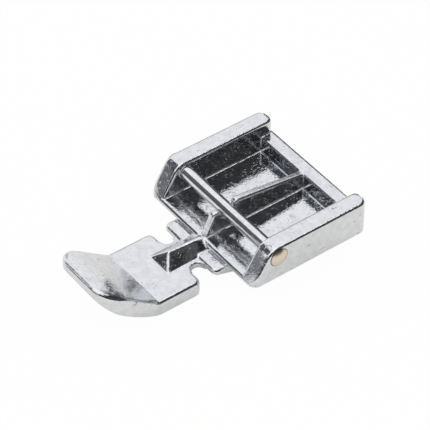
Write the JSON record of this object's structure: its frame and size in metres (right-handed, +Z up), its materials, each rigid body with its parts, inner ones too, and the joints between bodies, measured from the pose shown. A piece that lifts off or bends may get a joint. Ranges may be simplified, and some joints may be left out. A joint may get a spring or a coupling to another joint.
{
  "type": "sewing machine presser foot",
  "caption": "Clip-on zipper foot: flat toe with an upturned front edge, a needle notch on each side of a ridged neck, and an open frame with a cross pin.",
  "frame": {"origin": "on the sole plane, straight under the axis of the cross pin, on the middle plane", "axes": "+X across the foot along the pin, +Y from the toe to the rear bar, +Z up from the sole"},
  "size_m": [0.0208, 0.0331, 0.0071],
  "materials": {
    "chrome_plating": "bright chrome plate over a zinc die casting, with fine casting pits",
    "nickel_steel": "polished steel pin with a warm nickel tint on its heads"
  },
  "bodies": {
    "root": {"foot_casting": "chrome_plating", "shank_pin": "nickel_steel"}
  },
  "joints": []
}
